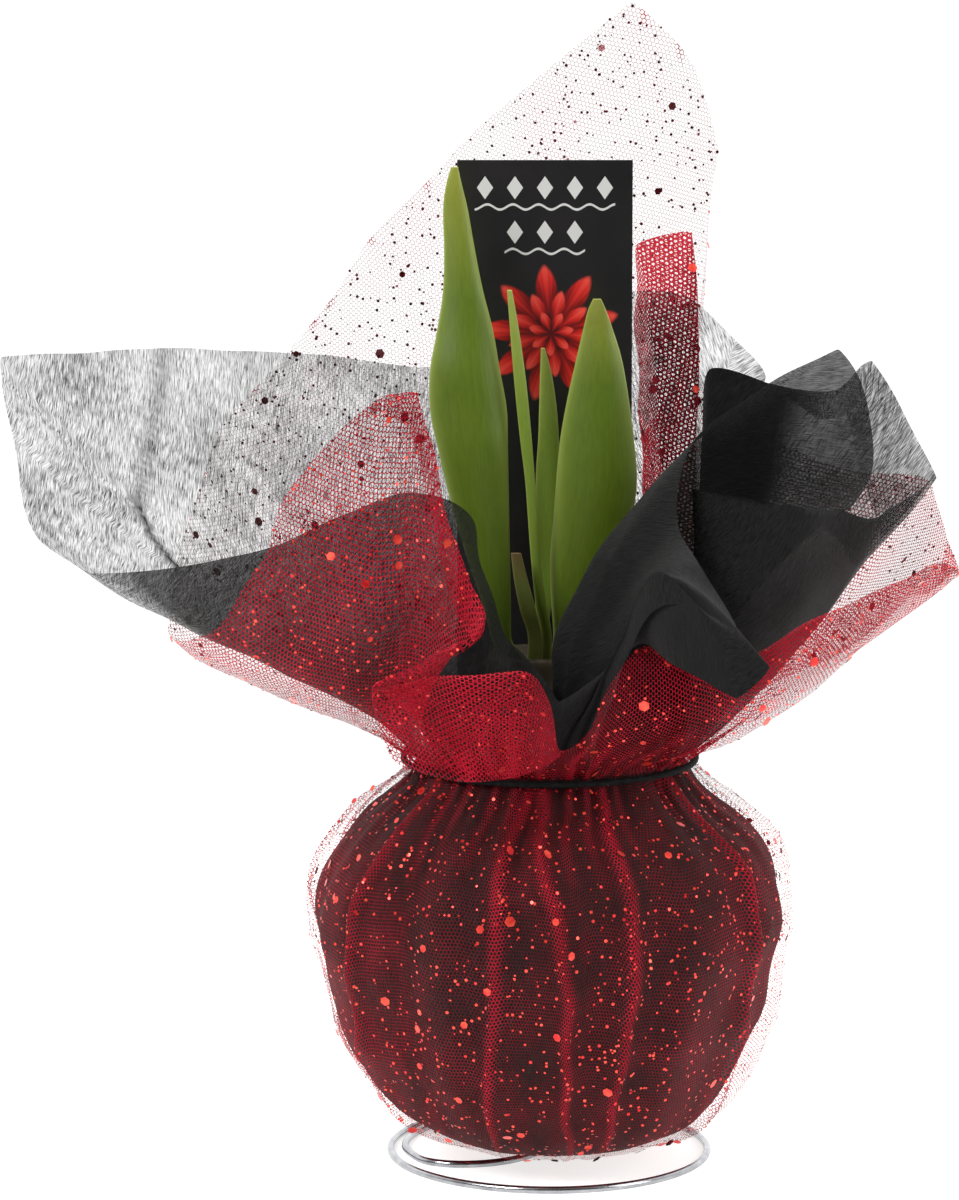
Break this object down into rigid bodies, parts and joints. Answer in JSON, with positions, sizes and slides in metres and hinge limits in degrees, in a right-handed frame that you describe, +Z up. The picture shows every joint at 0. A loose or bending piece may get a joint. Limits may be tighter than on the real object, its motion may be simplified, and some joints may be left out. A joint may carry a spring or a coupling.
{
  "type": "wrapped amaryllis bulb",
  "caption": "Amaryllis bulb with young leaves and a card, gathered in a black nonwoven and a red net wrap tied at the neck, standing on a small wire ring.",
  "frame": {"origin": "middle of the whole part's box, on the floor under the wire ring", "axes": "+Z up, the part's longest side; +X to the right in the picture, -Y towards the viewer; Y is the shortest side"},
  "size_m": [0.2208, 0.1574, 0.2656],
  "materials": {
    "chrome_wire": "bright",
    "bulb_skin": "papery",
    "leaf_green": "satin",
    "young_leaf_green": "satin",
    "sheath_olive": "satin",
    "black_nonwoven": "matte, fibrous",
    "red_tulle": "open net",
    "black_elastic": "matte",
    "card_black": "coated card"
  },
  "bodies": {
    "root": {"wire_stand": "chrome_wire", "bulb": "bulb_skin", "leaf_broad_left": "leaf_green", "leaf_broad_right": "leaf_green", "leaf_thin_front": "young_leaf_green", "leaf_thin_back": "young_leaf_green", "sheath": "sheath_olive", "nonwoven_wrap": "black_nonwoven", "tulle_wrap": "red_tulle", "neck_tie": "black_elastic", "card_tag": "card_black"}
  },
  "joints": []
}
